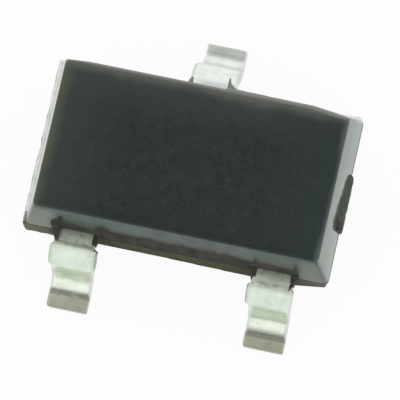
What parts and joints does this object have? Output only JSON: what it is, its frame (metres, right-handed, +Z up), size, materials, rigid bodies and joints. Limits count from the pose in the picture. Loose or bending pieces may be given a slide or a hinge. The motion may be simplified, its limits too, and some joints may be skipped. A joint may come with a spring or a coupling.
{
  "type": "three-lead small-outline transistor",
  "caption": "Surface-mount transistor: a black moulded epoxy body over a stamped lead frame, with formed gull-wing leads at the front and back, and the die and bond wires inside.",
  "frame": {"origin": "on the board's surface, under the middle of the body", "axes": "+X along the body's length, -Y towards the two front leads, +Y towards the single back lead, +Z up from the board"},
  "size_m": [0.003, 0.0028, 0.0011],
  "materials": {
    "moulding_compound": "fine-grained satin black epoxy",
    "tinned_lead_frame": "matte tin plating",
    "silicon": "polished silicon",
    "die_attach_glue": "silver-filled epoxy",
    "gold_wire": "drawn gold"
  },
  "bodies": {
    "root": {"moulded_body": "moulding_compound", "collector_lead": "tinned_lead_frame", "base_lead": "tinned_lead_frame", "emitter_lead": "tinned_lead_frame", "silicon_die": "silicon", "die_attach": "die_attach_glue", "base_bond_wire": "gold_wire", "emitter_bond_wire": "gold_wire"}
  },
  "joints": []
}
